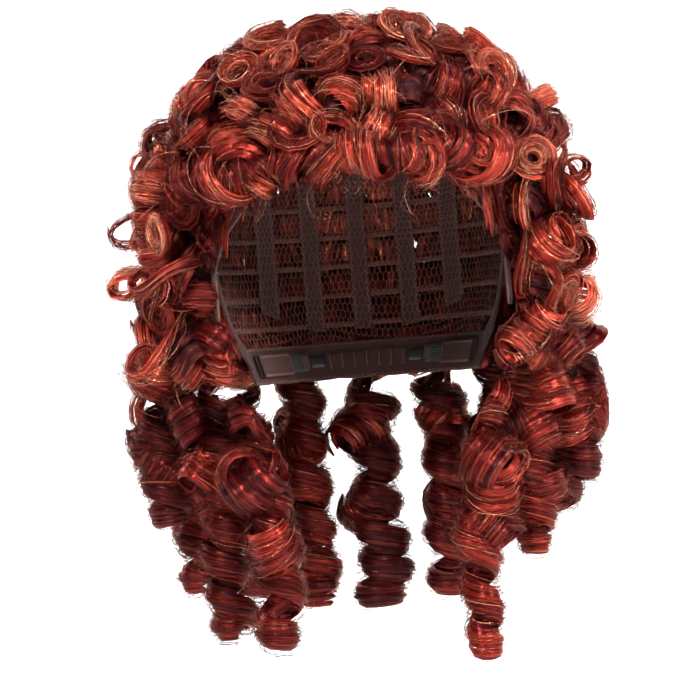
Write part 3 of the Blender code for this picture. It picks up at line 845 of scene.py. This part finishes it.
def net_mesh():
    """Hexagonal net over the crown, tied at every corner, out to the edge that the CAD net has."""
    low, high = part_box("crown_net")
    bm = bmesh.new()
    bmesh.ops.create_icosphere(bm, subdivisions=6, radius=1.0)
    pairs = np.array([[face.calc_center_median() for face in edge.link_faces] for edge in bm.edges])
    bm.free()
    ends = pairs * head_size(pairs, -0.0004)
    ends = ends / np.sqrt(np.sum((ends / head_size(ends, -0.0004)) ** 2, -1, keepdims=True))
    tree = mesh_tree(NODES["crown_net"].data, NODES["crown_net"].matrix_world)
    inside = np.array([all(tree.find_nearest(Vector(end))[3] < 0.0016 for end in pair) for pair in ends])
    ends = ends[inside & (ends[:, 0, 2] > low.z - 0.001)]
    way = unit(ends[:, 1] - ends[:, 0])
    out = unit(ends.mean(1))
    across = unit(np.cross(way, out))
    thread = Soup()
    wide = np.full(ends.shape[:2], NET_THREAD)
    thread.tubes(ends, wide, wide, np.repeat(across[:, None], 2, 1), np.repeat(out[:, None], 2, 1),
                 rng.uniform(0.1, 0.9, len(ends)))
    return thread.mesh("net_threads")


def undercoat():
    """Short hair lying down over the net: a row sewn in at every weft track, and rings round the crown."""
    # Painted shade: the undercoat uses the hair darkened to 0.45, for hair in shadow under the curls.
    piece = HairPiece("undercoat_hair", NODE_BODY["crown_net"], (), PAINTED_SHADE_UNDER_HAIR)
    rows = []
    for node in sorted(n for n in NODES if n.startswith("weft_track_")):
        points = np.array([NODES[node].matrix_world @ v.co for v in NODES[node].data.vertices])
        turn = np.arctan2(points[:, 0], points[:, 1])
        height = points[:, 2].mean()
        rows.append((height, turn.min(), turn.max(), (0.020, 0.030) if height > -0.035 else (0.009, 0.012)))
    rows += [(HEAD_TOP.z * math.cos(angle), -math.pi, math.pi, (0.020, 0.028)) for angle in CROWN_RINGS]
    for height, first, last, lengths in rows:
        drop = HEAD_TOP.z * (1.0 if height > 0 else HEAD_DROP_SHARE)
        polar = math.acos(height / drop)
        for azimuth in np.arange(first, last, UNDERCOAT_STEP / max(math.sin(polar), 0.08)):
            length = rng.uniform(*lengths) / HEAD_TOP.y
            down = polar + rng.normal(0, 0.012) + length * shares(7)
            turn = azimuth + rng.normal(0, 0.04) * shares(7)
            turn = turn + 0.02 * np.sin(down * rng.uniform(8, 20) + rng.uniform(0, 6))
            flat = np.sin(down)
            way = np.stack((flat * np.sin(turn) * HEAD_TOP.x, flat * np.cos(turn) * HEAD_TOP.y,
                            np.cos(down) * drop), 1)
            lift = 0.0050 + 0.0014 * shares(7) + rng.uniform(0, 0.0006)
            line = np.array([on_head(point, above) for point, above in zip(way, lift)])
            out = unit(line / head_size(line, 0.0) ** 2)
            across = unit(np.cross(np.gradient(line, axis=0), out))
            wide = rng.uniform(0.0013, 0.0020) * np.array(((1, 1.1, 1.1, 1, 0.9, 0.7, 0.3),))
            piece.soup().tubes(line[None], wide, wide * 0.2, across[None], out[None],
                               rng.uniform(0.3, 0.65, 1), 6, rng.uniform(0.5, 1.2, (1, 6)), UNDERCOAT_WINDOW)
    piece.finish()


def lay_thread(thread, line, out, fewest):
    """A thread through points on a face, unless there are too few of them."""
    if len(line) < fewest:
        return
    line = np.array(line)
    across = unit(np.cross(np.gradient(line, axis=0), out))
    wide = np.full((1, len(line)), STITCH_THREAD)
    thread.tubes(line[None], wide, wide, across[None], out[None], rng.uniform(0.2, 0.8, 1))


def tape_stitches(thread, mesh, sagittal, centre_y, pitch, inset, full):
    """A zigzag of thread along each edge of a tape, or over its full width, on the side facing the head."""
    centre = np.array((0.0, centre_y, 0.0))
    points = np.array([v.co for v in mesh.vertices])
    away = points - centre
    front = -1.0 if mesh.name.startswith("front_band") else 1.0
    turn = np.arctan2(away[:, 1], away[:, 2]) if sagittal else np.arctan2(away[:, 0], front * away[:, 1])
    level = points[:, 0] if sagittal else points[:, 2]
    tree = mesh_tree(mesh)
    lines = {}
    for number, at in enumerate(np.arange(turn.min() + 0.01, turn.max() - 0.01, pitch / HEAD_TOP.y)):
        near = np.abs(turn - at) < 0.045
        if near.sum() < 3:
            continue
        low, high = level[near].min(), level[near].max()
        swing = inset * (0.3 + (number % 2))
        spans = {"low": low + swing, "high": high - swing}
        if full:
            spans = {"full": low + inset * 0.4 if number % 2 else high - inset * 0.4}
        for key, place in spans.items():
            start, way = Vector((0, centre_y, place)), Vector((math.sin(at), front * math.cos(at), 0))
            if sagittal:
                start, way = Vector((place, centre_y, 0)), Vector((0, math.sin(at), math.cos(at)))
            hit = tree.ray_cast(start, way)[0]
            if hit:
                lines.setdefault(key, []).append(np.array(hit - way * 0.0001))
    for line in lines.values():
        lay_thread(thread, line, unit(np.array(line) - centre), 4)


def stitch_line(thread, tree, starts, ways):
    """A thread laid where rays from the starts meet a mesh, just proud of its face."""
    line = []
    for start, way in zip(starts, ways):
        hit = tree.ray_cast(Vector(start), Vector(way))[0]
        if hit:
            line.append(np.array(hit) - np.array(way) * 0.0001)
    lay_thread(thread, line, -np.asarray(ways)[:len(line)], 3)


def soft_copy(node, radius):
    """The CAD node's mesh with its edges rounded over."""
    bm = node_bmesh(node)
    bmesh.ops.dissolve_limit(bm, angle_limit=math.radians(1), verts=bm.verts, edges=bm.edges)
    edges = [edge for edge in bm.edges if edge.is_manifold and edge.calc_face_angle(0.0) > math.radians(40)]
    bmesh.ops.bevel(bm, geom=edges, offset=radius, segments=2, profile=0.5, affect="EDGES",
                    clamp_overlap=True)
    return bmesh_to_mesh(bm, f"{node}_soft", 50)


def ear_tab_look(side):
    """A padded tab with a row of thread round each face, and the stay in its pocket."""
    node = f"ear_tab_{side}"
    mesh = soft_copy(node, 0.0003)
    add_piece(f"{node}_padded", mesh, TAPE_CLOTH, NODE_BODY[node], (node,))
    stay = f"ear_stay_{side}"
    add_piece(f"{stay}_spring", soft_copy(stay, 0.00012), STEEL, NODE_BODY[stay], (stay,))
    low, high = (np.array(corner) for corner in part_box(node))
    corner = TAB_CORNER
    middle = (low[1] + high[1]) / 2
    half = (high[1] - low[1]) / 2 - TAB_STITCH_INSET
    top, foot = high[2] - TAB_STITCH_INSET, low[2] + TAB_STITCH_INSET
    path = [(0.0034, top), (half, top), (half, foot + corner)]
    path += [(half - corner * (1 - math.cos(a)), foot + corner * (1 - math.sin(a)))
             for a in np.radians((22.5, 45, 67.5, 90))]
    path += [(-y, z) for y, z in reversed(path)]
    path = np.array(path)
    reach = np.concatenate(((0,), np.cumsum(np.linalg.norm(np.diff(path, axis=0), axis=1))))
    places = np.arange(0.0, reach[-1], TAB_STITCH)
    y, z = (np.interp(places, reach, path[:, part]) for part in (0, 1))
    pull = 1.0 - 0.07 * (np.arange(len(places)) % 2)
    thread, tree = Soup(), mesh_tree(mesh)
    for sign in (-1.0, 1.0):
        x = (high[0] + 0.01) if sign > 0 else (low[0] - 0.01)
        starts = np.stack((np.full(len(y), x), middle + y * pull, z), 1)
        stitch_line(thread, tree, starts, np.tile((-sign, 0.0, 0.0), (len(y), 1)))
    name = f"{node}_stitching"
    add_piece(name, thread.mesh(name), THREAD_COTTON, NODE_BODY[node])


def ear_gusset(side):
    """The cloth between the side band's edge and the tab's hinge line, with a row of thread across it."""
    sign = -1.0 if side == "left" else 1.0
    low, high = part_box(f"ear_tab_{side}")
    band = mesh_tree(NODES[f"side_band_{side}"].data)
    middle_x = abs(low.x + high.x) / 2
    bm = bmesh.new()
    columns = []
    for y in np.linspace(low.y + 0.0004, high.y - 0.0004, 17):
        edge = None
        for z in np.arange(high.z, high.z + 0.03, 0.0004):
            flat = 1.0 - (y / HEAD_TOP.y) ** 2 - (z / (HEAD_TOP.z * (1.0 if z > 0 else HEAD_DROP_SHARE))) ** 2
            edge = np.array((sign * (HEAD_TOP.x * math.sqrt(flat) + BAND_MIDDLE), y, z))
            if band.find_nearest(Vector(edge))[3] < 0.0007:
                break
        foot = np.array((sign * middle_x, y, high.z + 0.0003))
        columns.append([bm.verts.new(foot + share * (edge - foot)) for share in shares(9)])
    for left, right in zip(columns, columns[1:]):
        for row in range(8):
            bm.faces.new((left[row], right[row], right[row + 1], left[row + 1]))
    bmesh.ops.recalc_face_normals(bm, faces=bm.faces)
    bmesh.ops.solidify(bm, geom=bm.faces[:], thickness=GUSSET_THICKNESS)
    mesh = bmesh_to_mesh(bm, f"ear_gusset_{side}", 50)
    add_piece(mesh.name, mesh, TAPE_CLOTH, NODE_BODY["crown_net"])
    y = np.arange(low.y + 0.0012, high.y - 0.0012, TAB_STITCH)
    z = high.z + 0.0016 + 0.0008 * (np.arange(len(y)) % 2)
    stitch_line(THREAD, mesh_tree(mesh), np.stack((0 * y, y, z), 1), np.tile((sign, 0.0, 0.0), (len(y), 1)))


def bar_tacks(thread, mesh, turns):
    """Upright zigzags of thread over a nape tape, at given angles about the nape's axis."""
    tree = mesh_tree(mesh)
    heights = [v.co.z for v in mesh.vertices]
    z = np.arange(min(heights) + TACK_MARGIN, max(heights) - TACK_MARGIN, TACK_PITCH)
    for turn in turns:
        angles = turn + 0.006 * (np.arange(len(z)) % 2)
        way = np.stack((np.sin(angles), np.cos(angles), 0 * z), 1)
        starts = np.stack((0 * z, np.full(len(z), NAPE_AXIS_Y), z), 1)
        stitch_line(thread, tree, starts, way)


def nape_turns(mesh):
    """The first and last angle of a tape about the nape's axis."""
    away = np.array([v.co for v in mesh.vertices]) - np.array((0.0, NAPE_AXIS_Y, 0.0))
    turn = np.arctan2(away[:, 0], away[:, 1])
    return turn.min(), turn.max()


SLOT_OF = {s["node"]: s["material_slot"] for s in frame["record"]["subparts"]}
LOOK = {"cap_net": NET_CLOTH, "cap_tape": TAPE_CLOTH, "weft_tape": WEFT_CLOTH, "elastic": ELASTIC_CLOTH,
        "plastic": PLASTIC, "steel": STEEL}
HEAD_FORM, NAPE_FORM = Form(False), Form(True)
SEWN = [node for node in NODES
        if node.startswith(("front_band", "side_band", "nape_band", "rib_", "weft_track"))]
WORN = [node for node in NODES if node.startswith("adjuster_")]
add_piece("crown_net_threads", net_mesh(), NET_CLOTH, NODE_BODY["crown_net"],
          ("crown_net",))
undercoat()
THREAD = Soup()
for node in SEWN + WORN:
    mesh = smooth_copy(node, NAPE_FORM if node in WORN else HEAD_FORM)
    add_piece(f"{node}_sewn", mesh, LOOK[SLOT_OF[node]], NODE_BODY[node], (node,))
    if node in SEWN:
        weft = node.startswith("weft")
        tape_stitches(THREAD, mesh, node.startswith("rib"), 0.0, 0.0012 if weft else 0.0016,
                      0.0006 if weft else 0.0014, weft)
    if node.startswith("adjuster_casing"):
        tape_stitches(THREAD, mesh, False, NAPE_AXIS_Y, 0.0014, 0.0012, False)
    if node == "adjuster_loop_tape":
        first, last = nape_turns(mesh)
        bar_tacks(THREAD, mesh, np.linspace(first + 0.03, last - 0.03, 7))
    if node.startswith("adjuster_strap"):
        first, last = nape_turns(mesh)
        near = first if abs(first) < abs(last) else last
        inward = 1.0 if near == first else -1.0
        tacks = Soup()
        bar_tacks(tacks, mesh, near + inward * np.array((0.02, 0.04, 0.06)))
        if tacks.points:
            name = f"{node}_stitching"
            add_piece(name, tacks.mesh(name), THREAD_COTTON, NODE_BODY[node])
for side in ("left", "right"):
    ear_tab_look(side)
    ear_gusset(side)
add_piece("cap_stitching", THREAD.mesh("cap_stitching"), THREAD_COTTON, NODE_BODY["crown_net"])
for node, obj in NODES.items():
    if SLOT_OF[node] in LOOK:
        obj.data.materials.clear()
        obj.data.materials.append(LOOK[SLOT_OF[node]])


# --- Stage, light and camera --------------------------------------------------------------------

def stage():
    """A pale floor that curves up into a backdrop and glows more the further it is."""
    bm = bmesh.new()
    floor_z, back, bend, reach = -0.31, 2.2, 1.0, 14.0
    profile = [(-reach, floor_z), (back, floor_z)]
    for step in range(1, 13):
        a = math.pi / 2 * step / 12
        profile.append((back + bend * math.sin(a), floor_z + bend * (1 - math.cos(a))))
    profile.append((back + bend, floor_z + 5.0))
    for (y0, z0), (y1, z1) in zip(profile, profile[1:]):
        corners = ((-reach, y0, z0), (reach, y0, z0), (reach, y1, z1), (-reach, y1, z1))
        bm.faces.new([bm.verts.new(corner) for corner in corners])
    bmesh.ops.remove_doubles(bm, verts=bm.verts, dist=1e-5)
    mesh = bmesh_to_mesh(bm, "backdrop")
    sweep = add_object("backdrop", mesh)
    n = Nodes("backdrop_paper")
    n.set("Base Color", (0.93, 0.93, 0.93))
    n.set("Roughness", 0.9)
    n.set("Emission Color", (1.0, 1.0, 1.0))
    distance = n.add("ShaderNodeVectorMath", operation="LENGTH")
    n.feed(distance.inputs[0], n.add("ShaderNodeTexCoord").outputs["Object"])
    n.set("Emission Strength", n.to_range(distance.outputs["Value"], 0.12, 0.85, 0.9, 2.6))
    mesh.materials.append(n.material)


def lights():
    """A bright backdrop for the camera, a dim world for the light, and six lamps."""
    world = bpy.data.worlds.new("studio")
    world.use_nodes = True
    nodes, links = world.node_tree.nodes, world.node_tree.links
    light, seen = nodes["Background"], nodes.new("ShaderNodeBackground")
    for node, colour, strength in ((light, (0.75, 0.70, 1.0, 1.0), 0.06), (seen, (1.0, 1.0, 1.0, 1.0), 0.95)):
        node.inputs[0].default_value, node.inputs[1].default_value = colour, strength
    path, mix = nodes.new("ShaderNodeLightPath"), nodes.new("ShaderNodeMixShader")
    for number, source in enumerate((path.outputs["Is Camera Ray"], light.outputs[0], seen.outputs[0])):
        links.new(source, mix.inputs[number])
    links.new(mix.outputs[0], nodes["World Output"].inputs[0])
    bpy.context.scene.world = world
    middle, behind = (0, 0, -0.03), (0, 3.2, 0.4)
    for name, place, aim, size, power in (
            ("key", (-0.55, -1.7, 1.25), middle, 0.3, 92),
            ("fill", (1.3, -1.3, 0.45), middle, 0.3, 62),
            ("front", (0.1, -2.2, -0.1), middle, 0.5, 8),
            ("rim_left", (-1.4, 0.9, 0.9), middle, 0.5, 14),
            ("rim_right", (1.4, 0.9, 0.9), middle, 0.5, 14),
            ("back_wash", (0, 1.2, 2.2), behind, 2.0, 25)):
        data = bpy.data.lights.new(name, "AREA")
        data.size = size
        data.energy = power
        lamp = add_object(name, data)
        lamp.location = place
        lamp.rotation_euler = (Vector(aim) - Vector(place)).to_track_quat("-Z", "Y").to_euler()


def camera():
    """Level, in front, with a slight roll."""
    distance, view_width, roll = 1.6, 0.364, math.radians(4.5)
    aim = Vector((-0.0086, 0.0, -0.057))
    data = bpy.data.cameras.new("camera")
    data.sensor_width = 36.0
    data.lens = 36.0 * distance / view_width
    cam = add_object("camera", data)
    right = Vector((math.cos(roll), 0.0, -math.sin(roll)))
    up = Vector((math.sin(roll), 0.0, math.cos(roll)))
    back = Vector((0.0, -1.0, 0.0))
    turn = Matrix((right, up, back)).transposed().to_4x4()
    cam.matrix_world = Matrix.Translation(aim + back * distance) @ turn
    bpy.context.scene.camera = cam


stage()
lights()
camera()
bpy.context.scene.view_settings.view_transform = "Standard"
